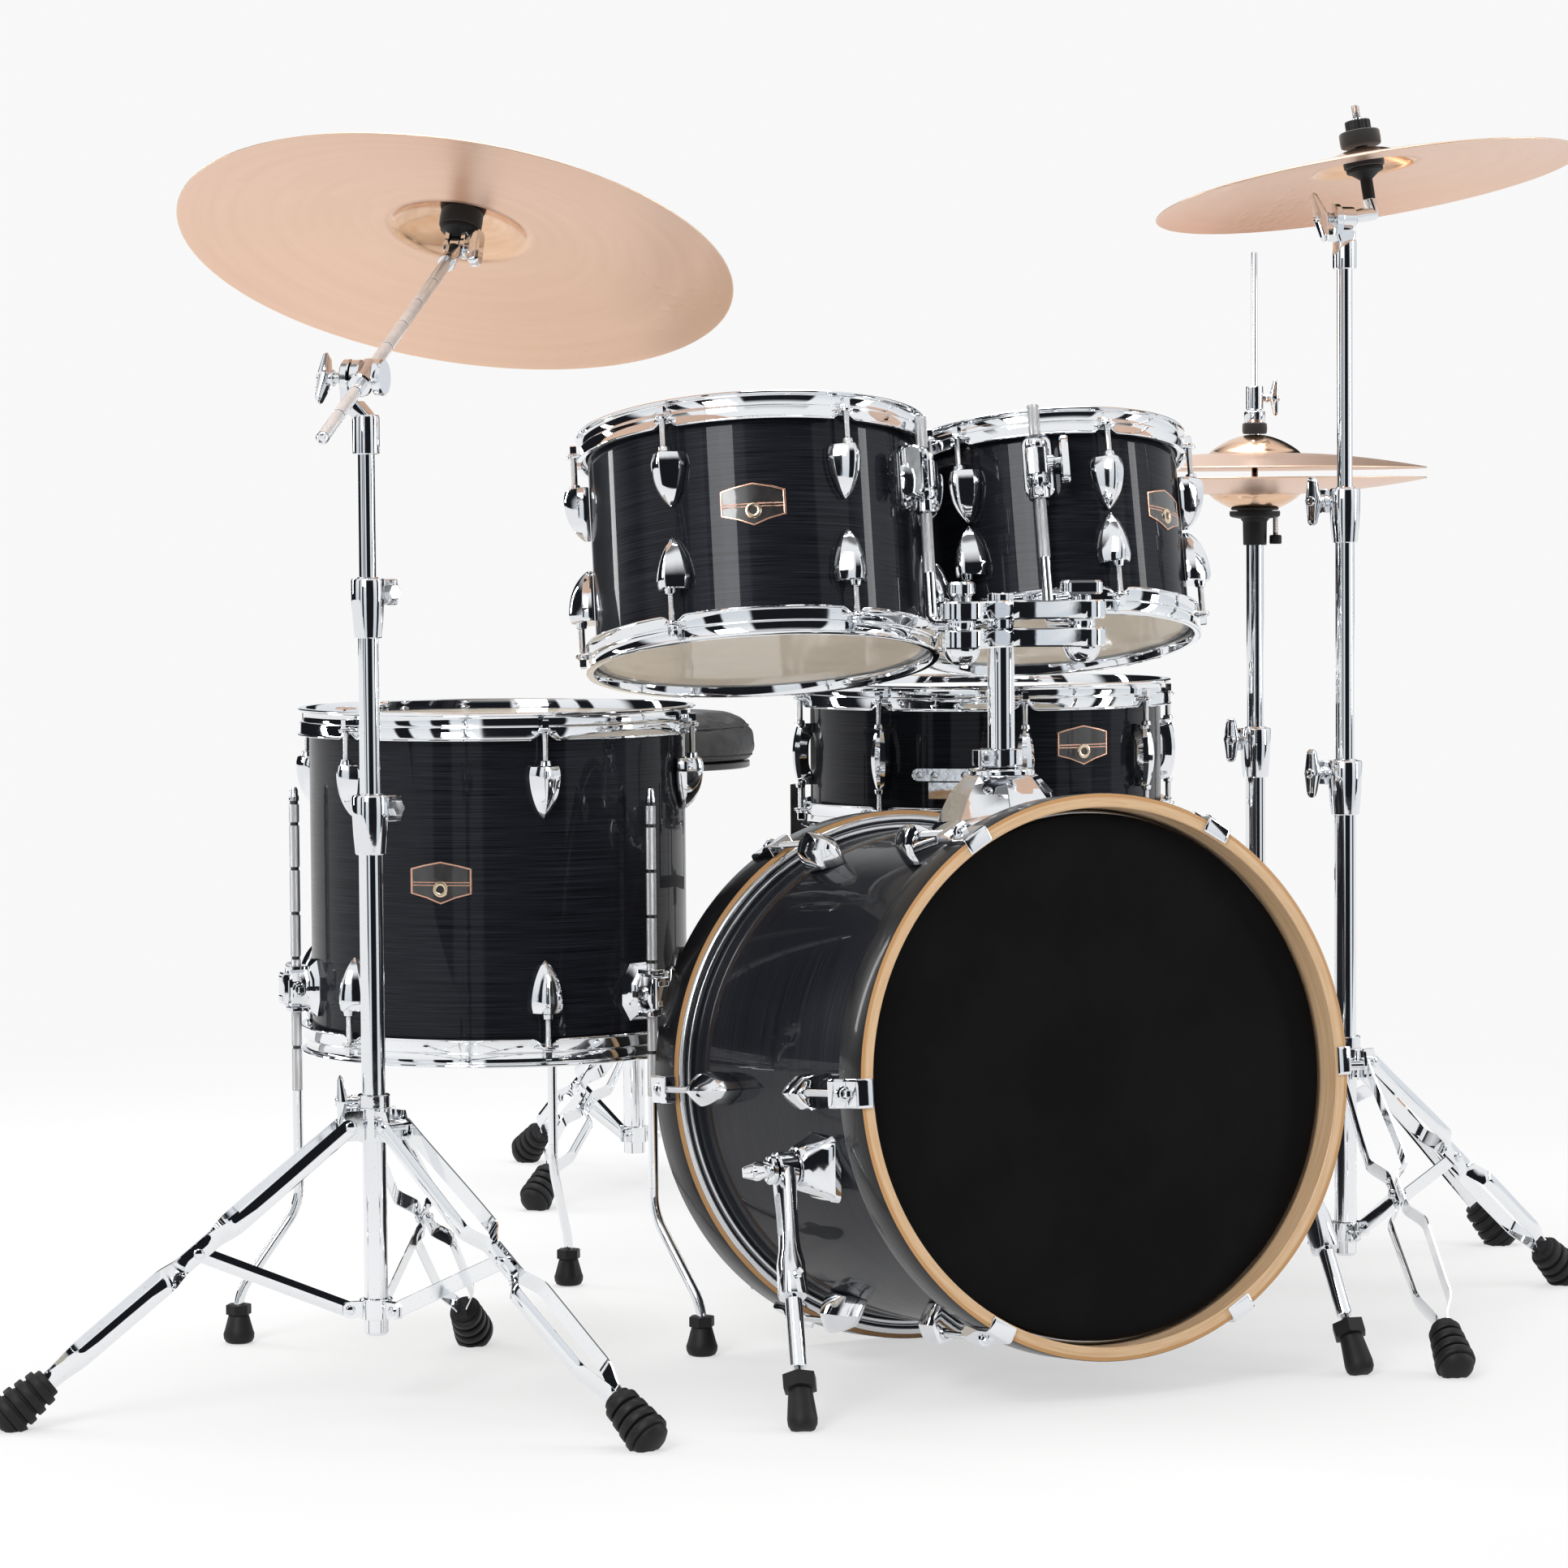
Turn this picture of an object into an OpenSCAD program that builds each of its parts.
// Five-drum acoustic kit with a boom stand, a straight stand, a hi-hat, a throne and a pedal.
// The drummer sits towards +Y and the audience looks along +Y.

/* [Bass drum] */
// Outside diameter of the bass drum shell
bass_d = 457; // [406:1:560]
// Length of the bass drum shell
bass_depth = 356; // [305:1:460]
// Width of each wooden hoop along the drum
bass_hoop_w = 40; // [34:1:50]
// Thickness of each wooden hoop
bass_hoop_t = 12.5; // [10:0.5:16]
// How far a hoop stands out past the end of the shell
bass_hoop_out = 22; // [16:1:26]
// How much the spurs raise the front of the drum, in degrees
bass_tilt = 5.1; // [2:0.1:7]
// Tuning points on each bass drum head
bass_points = 6; // [6:1:8]

/* [Drum shells] */
// Thickness of every shell
shell_wall = 7; // [5:0.5:9]
// Shell diameter of the left tom
left_tom_d = 304.8; // [290:1:315]
// Shell depth of the left tom
left_tom_depth = 203; // [180:1:215]
// Shell diameter of the right tom
right_tom_d = 254; // [240:1:262]
// Shell depth of the right tom
right_tom_depth = 178; // [160:1:190]
// Shell diameter of the floor tom
floor_tom_d = 355.6; // [340:1:370]
// Shell depth of the floor tom
floor_tom_depth = 305; // [280:1:330]
// Shell diameter of the snare drum
snare_d = 355.6; // [345:1:360]
// Shell depth of the snare drum
snare_depth = 127; // [120:1:150]
// Height of the floor tom's playing rim
floor_tom_top = 594; // [570:1:597]
// Height of the snare drum's playing rim
snare_top = 605; // [570:1:607]

/* [Metal hoops and lugs] */
// How far a metal hoop stands above the head
hoop_rise = 10; // [8:0.5:12]
// How far a metal hoop's lip stands out past the shell
hoop_lip = 10.6; // [9.6:0.2:11.6]
// Distance of a tension rod's middle from the shell
rod_off = 13; // [12:0.5:14.5]
// Diameter of a tension rod
rod_d = 6; // [5:0.5:7]
// Length of a teardrop lug
lug_len = 50; // [44:1:56]
// Width of a teardrop lug
lug_w = 29; // [26:1:32]

/* [Tom holder] */
// Diameter of the tom holder's post
post_d = 24.4; // [22:0.2:26]
// Height of the middle of the holder's clamp
clamp_z = 673; // [660:1:685]
// Diameter of a tom arm's rod
arm_d = 10.5; // [9.5:0.5:12]
// Diameter of the ball at the foot of a tom arm
ball_d = 25; // [22:1:27]

/* [Stands] */
// Outside diameter of a stand's lower tube
base_tube_d = 21; // [20:0.5:24]
// Outside diameter of a stand's middle tube
mid_tube_d = 18; // [17:0.2:18.6]
// Outside diameter of a stand's upper tube
top_tube_d = 14.5; // [13.5:0.5:15]
// Wall of the stand tubes
tube_wall = 1.2; // [1:0.1:1.4]
// Radial running clearance of a tube in its bush
tube_fit = 0.1; // [0.05:0.01:0.1]
// Reach of a tripod's feet from its tube
leg_reach = 318; // [290:1:340]
// Height of a tripod's upper leg pivots
leg_pivot_z = 247; // [230:1:270]
// Height of a tripod's lower collar
brace_z = 86; // [76:1:110]
// Width of a flat leg strip
strip_w = 15; // [12:1:18]
// Thickness of a flat leg strip
strip_t = 2.2; // [1.8:0.1:2.6]

/* [Cymbals] */
// Diameter of the ride cymbal
ride_d = 508; // [480:1:530]
// Diameter of the crash cymbal
crash_d = 406; // [380:1:430]
// Diameter of the two hi-hat cymbals
hat_d = 356; // [340:1:360]
// Thickness of a cymbal
cymbal_t = 1.5; // [1.2:0.1:2]
// Gap between the edges of the open hi-hat cymbals
hat_gap = 12; // [11.5:0.5:16]

/* [Throne] */
// Diameter of the round seat
seat_d = 298; // [280:1:330]
// Thickness of the seat's padding
seat_t = 54; // [45:1:65]
// Height of the top of the seat
seat_top = 546; // [500:1:600]

/* [Hidden] */
$fn = 48;

chrome = [0.80, 0.81, 0.83];
black_shell = [0.07, 0.07, 0.08];
maple = [0.86, 0.68, 0.47];
film = [0.90, 0.88, 0.82];
bronze = [0.86, 0.66, 0.50];
rubber = [0.06, 0.06, 0.06];
vinyl = [0.08, 0.08, 0.08];

seam = 0.1;                  // gap between two pieces that are screwed together
air = 0.3;                   // gap between two pieces that move past each other
bend_swell = 0.2;            // how much a rod thickens at a bend
rod_r = rod_d / 2;
post_r = post_d / 2;
arm_r = arm_d / 2;
ball_r = ball_d / 2;
base_r = base_tube_d / 2;
mid_r = mid_tube_d / 2;
top_r = top_tube_d / 2;

// Bass drum, in a frame whose +Z runs from the front hoop to the drummer's hoop
bass_r = bass_d / 2;
bass_hoop_gap = 6;           // room for the head's flesh hoop between shell and hoop
bass_hoop_in = bass_r + bass_hoop_gap;
bass_hoop_r = bass_hoop_in + bass_hoop_t;
bass_half = bass_depth / 2 + bass_hoop_out;
bass_z = bass_half * sin(bass_tilt) + bass_hoop_r * cos(bass_tilt);
bass_rod_r = bass_hoop_r + 5;
bass_lug_inset = 72;
bass_lug_bore = 40;
bass_lug_z = bass_depth / 2 - bass_lug_inset;
claw_w = 25;
claw_t = 2.5;

// Places of the drums and stands on the floor
left_tom_at = [-136, 202, 741];
left_tom_lean = [12.2, 75];  // tilt, and the direction that the top leans to
right_tom_at = [172.5, 194, 742];
right_tom_lean = [14, 77];
floor_tom_side = 129.2;  // from the kit's middle line to the floor tom's shell
floor_tom_at = [-(floor_tom_d / 2 + floor_tom_side), 411];
snare_at = [268, 484];
ride_stand_at = [-575, 82];
crash_stand_at = [408, 42];
hihat_at = [585, 470];
throne_at = [243, 1262];
pedal_x = 40;                // the pedal's middle, a little off the drum's middle
post_y = -12;

// First lug of each ring, and how many
left_lugs = [34, 6];
right_lugs = [25.4, 6];
floor_lugs = [19, 6];
snare_lugs = [27, 8];

// Metal hoop, in heights above the head and radii past the shell
hoop_foot = -16;
ear_t = 2.5;
ear_lift = 0.6;
ear_r = 6.5;
lug_drop = 25;               // from the ear to the top of its lug
lug_axis = 8;                // the lug's middle line, outside the shell

// Tom holder
holder_top = 545;
holder_sink = 90;            // length of the post below the top of its base
ball_at = [62, -38];         // a ball's place from the post, to the side and forwards
plate_t = 17;
plate_gap = 8;
boss_lip = 0.8;
arm_corner_z = 671;
left_arm_at = [-35, 51];
right_arm_at = [89, 51.5];
arm_rise = 158;
arm_turn = 45;               // height of the middle of a tom's bracket above its shell's middle

// Legs of the floor tom
floor_leg_r = 4.75;
floor_leg_off = 20;          // rod's middle from the shell
floor_leg_dir = [171, 291, 51];
floor_foot_off = 79;         // foot's middle from the shell
floor_leg_top = 522;

// Tripods
pivot_r = 24;
foot_r = 22;
foot_h = 40;
pinch = 0.47;                // where the strips meet, as a share of the leg's length
hub_h = 30;
ride_leg_dir = 171;
crash_leg_dir = 13.5;
snare_leg_dir = 115;
throne_leg_dir = 97;
hihat_leg_dir = [-23.6, 216.4];
snare_leg_reach = 200;
snare_pivot_z = 190;
throne_leg_reach = 239;
throne_pivot_z = 176;
throne_brace_z = 58;
hihat_leg_reach = 260;
hihat_pivot_z = 300;
hihat_brace_z = 120;

// Boom stand
ride_base_top = 525;
ride_mid_top = 712;
ride_top_z = 866;
collar_h = 46;
tube_lap = 190;              // length of a middle tube kept inside the tube below it
top_lap = 120;               // the same for an upper tube
head_grip = 40;
head_l = 34;
boom_pivot_z = 892;
boom_at = [ride_stand_at[0], ride_stand_at[1], boom_pivot_z];
boom_r = 5.3;
boom_dir = 47.2;
boom_tail = 118;
ride_at = [-412, 258, 1008];
ride_lean = [21.9, 42];
ride_joint = 8;              // tilter's pivot above the plane of the cymbal's edge
crash_base_top = 528;
crash_mid_top = 786;
crash_top_z = 1030;
crash_at = [447, 61, 1080];
crash_lean = [9.9, 117];
crash_joint = -27;
cymbal_post_r = 4;
tip_h = 12;                  // threaded tip of a cymbal's post
yoke_half = 4.5;             // half the thickness of the boom's end barrel
felt_r = 17;
sleeve_gap = 0.25;           // between a cymbal's hole and the sleeve on its post
felt_low = cymbal_t + 1.5;   // from the top of a bell down to the felt below it
felt_high = 1.5;             // from the top of a bell up to the felt above it

// Hi-hat
hat_edge_z = 806;            // plane of the bottom cymbal's edge
hihat_base_top = 540;
hihat_rod_top = 1042;
hihat_rod_r = 3.2;
pedal_dir = 109;

// Throne
throne_tube_d = 25;
throne_post_d = 22;
throne_base_top = 330;

// Cymbal shapes: height of the bow, height and radius of the bell
ride_shape = [26, 21, 64];
crash_shape = [19, 18, 50];
hat_shape = [15, 20, 48];

function lean_axis(lean) =
    [sin(lean[0]) * cos(lean[1]), sin(lean[0]) * sin(lean[1]), cos(lean[0])];

// The kit's own origin is the middle of its footprint, on the floor
kit_low = [ride_stand_at[0] + leg_reach * cos(ride_leg_dir) - foot_r,
    crash_stand_at[1] + leg_reach * sin(crash_leg_dir + 240) - foot_r];
kit_high = [hihat_at[0] + hihat_leg_reach * cos(hihat_leg_dir[0]) + foot_r,
    throne_at[1] + throne_leg_reach * sin(throne_leg_dir) + foot_r];
kit_mid = [(kit_low[0] + kit_high[0]) / 2, (kit_low[1] + kit_high[1]) / 2];

module kit() {
    translate([-kit_mid[0], -kit_mid[1], 0]) children();
}

// ---- General shapes ----

module ring(r_out, r_in, h) {
    difference() {
        cylinder(r = r_out, h = h);
        translate([0, 0, -1]) cylinder(r = r_in, h = h + 2);
    }
}

module fine_ring(r_out, r_in, h) {
    ring(r_out, r_in, h, $fn = 96);
}

// A round bar from point a to point b
module bar(a, b, r) {
    d = b - a;
    len = norm(d);
    translate(a) rotate([0, acos(d[2] / len), atan2(d[1], d[0])]) cylinder(r = r, h = len);
}

module lean(tilt_dir) {
    rotate([0, 0, tilt_dir[1] + 90]) rotate([tilt_dir[0], 0, 0]) rotate([0, 0, -tilt_dir[1] - 90])
        children();
}

module around(first, count) {
    for (i = [0 : count - 1]) rotate([0, 0, first + i * 360 / count]) children();
}

// Wing nut whose hub runs along +Z from its seat
module wing_nut(hub_r = 6, span = 34) {
    cylinder(r = hub_r, h = 12);
    translate([-span / 2, -2.5, 6]) cube([span, 5, 14]);
    for (s = [-1, 1]) translate([s * span / 2, 2.5, 13]) rotate([90, 0, 0]) cylinder(r = 7, h = 5);
}

// ---- Drum pieces, in a frame with +Z along the shell and its middle at 0 ----

module shell(d, depth) {
    translate([0, 0, -depth / 2]) fine_ring(d / 2, d / 2 - shell_wall, depth);
}

// One plastic head with its flesh hoop, resting on a bearing edge at height 0
module head(r) {
    flesh_low = -11;
    rotate_extrude($fn = 96) polygon([[0, 0], [r + 1.2, 0], [r + 1.2, flesh_low],
        [r + 5.2, flesh_low], [r + 5.2, -5], [r + 2, -5], [r + 2, 0.8], [0, 0.8]]);
}

module two_ends(depth) {
    translate([0, 0, depth / 2]) children();
    mirror([0, 0, 1]) translate([0, 0, depth / 2]) children();
}

// One flanged metal hoop with its ears
module metal_hoop(r, lugs) {
    difference() {
        union() {
            rotate_extrude($fn = 96) polygon([[r + 3.2, hoop_rise], [r + hoop_lip, hoop_rise],
                [r + hoop_lip, hoop_rise - 2], [r + 5.4, hoop_rise - 2.6], [r + 5.4, -2.8],
                [r + 8, -2.8], [r + 8, hoop_foot + 2], [r + 11, hoop_foot + 2],
                [r + 11, hoop_foot], [r + 6, hoop_foot], [r + 6, -4.8], [r + 3.2, -4.8]]);
            around(lugs[0], lugs[1]) translate([r + rod_off, 0, hoop_foot + ear_lift])
                cylinder(r = ear_r, h = ear_t - ear_lift);
        }
        around(lugs[0], lugs[1]) translate([r + rod_off, 0, hoop_foot - 1])
            cylinder(r = rod_r + air, h = ear_t + 2);
    }
}

// Teardrop outline: half width at a share u of the lug's length
function tear(u) = lug_w / 2 * pow(sin(180 * sqrt(u)), 0.75);
tear_start = 0.08;
tear_steps = 9;

module teardrop_lug() {
    rotate_extrude($fn = 32) polygon(concat([[0, 0]],
        [for (i = [0 : tear_steps])
            let (u = tear_start + (0.985 - tear_start) * i / tear_steps)
            [tear(u), -lug_len * (u - tear_start)]],
        [[0, -lug_len * (1 - tear_start)]]));
}

lug_top = hoop_foot - lug_drop;
socket_h = 6;

// The teardrop lugs of one end, bolted to the shell, each with a socket for its rod
module lug_ring(r, lugs) {
    difference() {
        around(lugs[0], lugs[1]) {
            translate([r + lug_axis, 0, lug_top]) teardrop_lug();
            translate([r + rod_off, 0, lug_top - 2]) cylinder(r = rod_r + 2.2, h = socket_h + 2);
        }
        around(lugs[0], lugs[1]) translate([r + rod_off, 0, lug_top - 14])
            cylinder(r = rod_r + seam, h = 40);
        translate([0, 0, lug_top - lug_len - 5]) cylinder(r = r + seam, h = lug_len + 60, $fn = 96);
    }
}

// A tension rod, from inside its lug to the square head on the hoop's ear
module rod_ring(r, lugs) {
    ear_top = hoop_foot + ear_t + seam;
    around(lugs[0], lugs[1]) translate([r + rod_off, 0, 0]) {
        translate([0, 0, lug_top - 12]) cylinder(r = rod_r, h = ear_top - lug_top + 13);
        translate([0, 0, ear_top]) cylinder(r = rod_r + 1.8, h = 1.5);
        translate([0, 0, ear_top]) cylinder(r = rod_r + 1, h = 12);
    }
}

module drum_lugs(r, depth, lugs) {
    two_ends(depth) {
        lug_ring(r, lugs);
        rod_ring(r, lugs);
    }
}

module left_tom() {
    kit() translate(left_tom_at) lean(left_tom_lean) children();
}

module right_tom() {
    kit() translate(right_tom_at) lean(right_tom_lean) children();
}

module floor_tom() {
    kit() translate([floor_tom_at[0], floor_tom_at[1],
        floor_tom_top - hoop_rise - floor_tom_depth / 2]) children();
}

module snare() {
    kit() translate([snare_at[0], snare_at[1], snare_top - hoop_rise - snare_depth / 2]) children();
}

module bass() {
    kit() translate([0, 0, bass_z]) rotate([-90 - bass_tilt, 0, 0]) children();
}

// ---- Bass drum ----

module bass_shell() {
    color(black_shell) difference() {
        bass() shell(bass_d, bass_depth);
        kit() translate([0, post_y, bass_z]) cylinder(r = post_r + 2, h = bass_r + 50);
    }
}

rabbet = 8;
flesh_out = 2.3;

module bass_hoops() {
    color(maple) bass() two_ends(bass_depth) translate([0, 0, bass_hoop_out - bass_hoop_w])
        difference() {
            fine_ring(bass_hoop_r, bass_hoop_in, bass_hoop_w);
            translate([0, 0, -1]) cylinder(r = bass_hoop_in + flesh_out + seam, h = rabbet + 1,
                $fn = 96);
        }
}

module bass_heads() {
    r = bass_r;
    flesh_top = bass_hoop_out - bass_hoop_w + rabbet - seam;
    color(vinyl) bass() two_ends(bass_depth) rotate_extrude($fn = 96)
        polygon([[0, 0], [r + 1.2, 0], [r + 1.2, flesh_top - 11],
            [bass_hoop_in + flesh_out, flesh_top - 11], [bass_hoop_in + flesh_out, flesh_top],
            [r + 2.4, flesh_top], [r + 2.4, 1], [0, 1]]);
}

bass_lug_first = 0;

module bass_lugs() {
    color(chrome) bass() two_ends(0) difference() {
        around(bass_lug_first, bass_points) {
            translate([bass_rod_r - 4, 0, bass_lug_z]) teardrop_lug();
            translate([bass_rod_r - 4, 0, bass_lug_z - 26]) rotate([0, -90, 0])
                cylinder(r = 9, h = bass_rod_r - bass_r);
            translate([bass_rod_r, 0, bass_lug_z - 2]) cylinder(r = rod_r + 2.2, h = socket_h + 2);
        }
        around(bass_lug_first, bass_points) translate([bass_rod_r, 0, bass_lug_z - 14])
            cylinder(r = rod_r + seam, h = bass_lug_bore);
        translate([0, 0, -1]) cylinder(r = bass_r + seam, h = bass_half, $fn = 96);
    }
}

// Claws that hook over the hoops, and the rods that pull them to the lugs
module bass_claws() {
    front = bass_half + seam;
    back = bass_half - bass_hoop_w - 2;
    outer = bass_hoop_r + seam;
    ear_in = 10;
    color(chrome) bass() two_ends(0) around(bass_lug_first, bass_points) {
        difference() {
            translate([0, claw_w / 2, 0]) rotate([90, 0, 0]) linear_extrude(claw_w)
                polygon([[outer - 11, front], [outer - 11, front + claw_t],
                    [outer + 2, front + claw_t], [outer + 4, front], [outer + 4, back + 24],
                    [outer + ear_in, back + 12], [outer + ear_in, back], [outer, back],
                    [outer, front]]);
            translate([bass_rod_r, 0, back - 1]) cylinder(r = rod_r + air, h = bass_hoop_w);
        }
        translate([bass_rod_r, 0, bass_lug_z - 12])
            cylinder(r = rod_r, h = back - bass_lug_z + 12 + 20);
        translate([bass_rod_r, 0, back + 15 + seam]) cylinder(r = rod_r + 1.6, h = 14);
    }
}

// ---- Bass drum spurs ----

spur_y = -85;
spur_z = 205;
spur_pivot_x = 262;
spur_feet = [[-310, -210], [250, -218]];
spur_leg_r = 8;
spur_tip_r = 4.5;
spur_foot_h = 46;

function spur_end(side) = side < 0 ? spur_feet[0] : spur_feet[1];

// Saddle on the shell and the fork that a spur turns in
module spur_bracket(side) {
    difference() {
        union() {
            translate([side * (spur_pivot_x - 26), spur_y, spur_z]) rotate([0, side * 90, 0])
                cylinder(r = 24, h = 14);
            translate([side * (spur_pivot_x - 62), spur_y, spur_z]) rotate([0, side * 90, 0])
                cylinder(r = 30, h = 40);
            translate([side * (spur_pivot_x - 14), spur_y, spur_z]) rotate([0, side * 90, 0])
                cylinder(r = 7, h = 28);
            translate([side * (spur_pivot_x + 12), spur_y, spur_z]) rotate([0, side * 90, 0])
                cylinder(r = 11, h = 4);
        }
        translate([0, 0, bass_z]) rotate([-90 - bass_tilt, 0, 0]) translate([0, 0, -bass_half])
            cylinder(r = bass_r + seam, h = 2 * bass_half, $fn = 96);
    }
}

module spur_brackets() {
    color(chrome) kit() for (side = [-1, 1]) spur_bracket(side);
}

// A leg that turns on its bracket, with a threaded tip, a lock nut and a rubber foot
module spur(side) {
    end = spur_end(side);
    top = [side * spur_pivot_x, spur_y, spur_z];
    foot = [end[0], end[1], 0];
    way = (foot - top) / norm(foot - top);
    tip = foot - way * (spur_foot_h + 12);
    difference() {
        union() {
            bar(top, tip, spur_leg_r);
            translate([side * (spur_pivot_x - 9), spur_y, spur_z]) rotate([0, side * 90, 0])
                cylinder(r = 15, h = 18);
        }
        translate([side * (spur_pivot_x - 30), spur_y, spur_z]) rotate([0, side * 90, 0])
            cylinder(r = 7 + tube_fit, h = 60);
    }
    bar(tip + way * seam, foot - way * 20, spur_tip_r);
    difference() {
        union() {
            bar(foot - way * (spur_foot_h + 2), foot - way * (spur_foot_h - 12), 15);
            bar(foot - way * (spur_foot_h - 12), foot + way * 14, 12);
        }
        bar(foot - way * (spur_foot_h + 4), foot - way * 19, spur_tip_r + seam);
        translate([foot[0] - 40, foot[1] - 40, -40]) cube([80, 80, 40]);
    }
}

module left_spur() {
    color(chrome) kit() spur(-1);
}

module right_spur() {
    color(chrome) kit() spur(1);
}

// ---- Tom holder ----

module holder_base() {
    color(chrome) difference() {
        kit() translate([0, post_y, 0]) {
            translate([0, 0, holder_top - 62]) cylinder(r1 = 62, r2 = 31, h = 56, $fn = 8);
            translate([0, 0, holder_top - 30]) cylinder(r = 27, h = 30);
        }
        kit() translate([0, post_y, bass_z]) cylinder(r = post_r + tube_fit, h = holder_top);
        bass() translate([0, 0, -bass_half]) cylinder(r = bass_r + seam, h = 2 * bass_half,
            $fn = 96);
    }
}

function ball_place(side) = [side * ball_at[0], post_y + ball_at[1], clamp_z];
function corner(side) = side < 0
    ? [left_arm_at[0], left_arm_at[1], arm_corner_z]
    : [right_arm_at[0], right_arm_at[1], arm_corner_z];

// One rounded clamp plate, from the post to a ball
module clamp_plate(side) {
    way = [side * ball_at[0], ball_at[1]];
    rotate([0, 0, atan2(way[1], way[0])]) {
        translate([0, -19, 0]) cube([norm(way), 38, plate_t]);
        translate([norm(way), 0, 0]) cylinder(r = 22, h = plate_t);
    }
}

// Post, memory lock, and the two-armed clamp with its tightening knobs
module holder_post() {
    low = holder_top - holder_sink;
    color(chrome) kit() {
        translate([0, post_y, low])
            ring(post_r, post_r - 2, clamp_z + plate_gap / 2 + plate_t - low + 6);
        translate([0, post_y, holder_top + air]) {
            ring(post_r + 6, post_r + seam, 15);
            translate([-post_r - 17, -16, 0]) cube([15, 12, 15]);
        }
        difference() {
            translate([0, post_y, 0]) {
                for (side = [-1, 1]) {
                    translate([0, 0, clamp_z + plate_gap / 2]) clamp_plate(side);
                    translate([0, 0, clamp_z - plate_gap / 2 - plate_t]) clamp_plate(side);
                }
                translate([0, 0, clamp_z - plate_gap / 2 - plate_t - boss_lip])
                    cylinder(r = post_r + 9, h = plate_gap + 2 * (plate_t + boss_lip));
            }
            translate([0, post_y, clamp_z - 60]) cylinder(r = post_r + seam, h = 120);
            for (side = [-1, 1]) translate(ball_place(side)) sphere(r = ball_r + air);
            for (side = [-1, 1]) let (a = ball_place(side), b = corner(side))
                bar([a[0], a[1], a[2]], a + (b - a) * 0.5, arm_r + 3);
        }
        for (side = [-1, 1]) translate(ball_place(side)) {
            translate([0, 0, plate_gap / 2 + plate_t + seam]) cylinder(r = 8, h = 5);
            translate([0, 0, plate_gap / 2 + plate_t + 5 + seam]) cylinder(r = 17, h = 9);
            difference() {
                translate([0, 0, -plate_gap / 2 - plate_t - seam]) sphere(r = 17);
                translate([-30, -30, -plate_gap / 2 - plate_t - seam]) cube([60, 60, 60]);
            }
        }
    }
}

// Ball, level rod, bend and upright of one tom arm
module tom_arm(side, tilt_dir) {
    a = ball_place(side);
    b = corner(side);
    c = b + lean_axis(tilt_dir) * arm_rise;
    translate(a) sphere(r = ball_r);
    bar(a, b, arm_r);
    translate(b) sphere(r = arm_r + bend_swell);
    bar(b, c, arm_r);
    translate(c) lean(tilt_dir) cylinder(r1 = arm_r, r2 = arm_r - 3, h = 7);
}

module left_tom_arm() {
    color(chrome) kit() tom_arm(-1, left_tom_lean);
}

module right_tom_arm() {
    color(chrome) kit() tom_arm(1, right_tom_lean);
}

// Bracket on a tom's shell with a bore for the arm's upright, in the kit's frame
module tom_bracket(side, at, tilt_dir, r) {
    axis = lean_axis(tilt_dir);
    b = corner(side);
    k = (at - b) * axis + arm_turn;
    mid = b + axis * k;
    flat = at + axis * arm_turn;
    out = mid - flat;
    dir = atan2(out[1], out[0]);
    difference() {
        union() {
            translate(flat) lean(tilt_dir) rotate([0, 0, dir]) {
                translate([r - 4, -20, -30]) cube([7, 40, 60]);
                translate([r, -9, -20]) cube([norm(out) - r, 18, 40]);
            }
            translate(mid) lean(tilt_dir) translate([0, 0, -21]) cylinder(r = arm_r + 6, h = 42);
        }
        translate(mid) lean(tilt_dir) translate([0, 0, -60]) cylinder(r = arm_r + tube_fit, h = 120);
        translate(at) lean(tilt_dir) translate([0, 0, -150])
            cylinder(r = r + seam, h = 300, $fn = 96);
    }
    translate(mid) lean(tilt_dir) rotate([0, 0, dir + side * 90]) rotate([0, 90, 0])
        translate([0, 0, arm_r + 6 + seam]) wing_nut();
}

// ---- Left and right toms ----

module left_tom_shell() { color(black_shell) left_tom() shell(left_tom_d, left_tom_depth); }
module right_tom_shell() { color(black_shell) right_tom() shell(right_tom_d, right_tom_depth); }

module left_tom_hoops() {
    color(chrome) left_tom() two_ends(left_tom_depth) metal_hoop(left_tom_d / 2, left_lugs);
}

module right_tom_hoops() {
    color(chrome) right_tom() two_ends(right_tom_depth) metal_hoop(right_tom_d / 2, right_lugs);
}

module left_tom_heads() { color(film) left_tom() two_ends(left_tom_depth) head(left_tom_d / 2); }
module right_tom_heads() { color(film) right_tom() two_ends(right_tom_depth) head(right_tom_d / 2); }

module left_tom_lugs() {
    color(chrome) left_tom() drum_lugs(left_tom_d / 2, left_tom_depth, left_lugs);
}

module right_tom_lugs() {
    color(chrome) right_tom() drum_lugs(right_tom_d / 2, right_tom_depth, right_lugs);
}

module left_tom_bracket() {
    color(chrome) kit() tom_bracket(-1, left_tom_at, left_tom_lean, left_tom_d / 2);
}

module right_tom_bracket() {
    color(chrome) kit() tom_bracket(1, right_tom_at, right_tom_lean, right_tom_d / 2);
}

// ---- Floor tom ----

module floor_tom_shell() { color(black_shell) floor_tom() shell(floor_tom_d, floor_tom_depth); }

module floor_tom_hoops() {
    color(chrome) floor_tom() two_ends(floor_tom_depth) metal_hoop(floor_tom_d / 2, floor_lugs);
}

module floor_tom_heads() { color(film) floor_tom() two_ends(floor_tom_depth) head(floor_tom_d / 2); }

module floor_tom_lugs() {
    color(chrome) floor_tom() drum_lugs(floor_tom_d / 2, floor_tom_depth, floor_lugs);
}

bracket_h = 44;
bracket_z = 310;
floor_rod_at = floor_tom_d / 2 + floor_leg_off;

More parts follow.
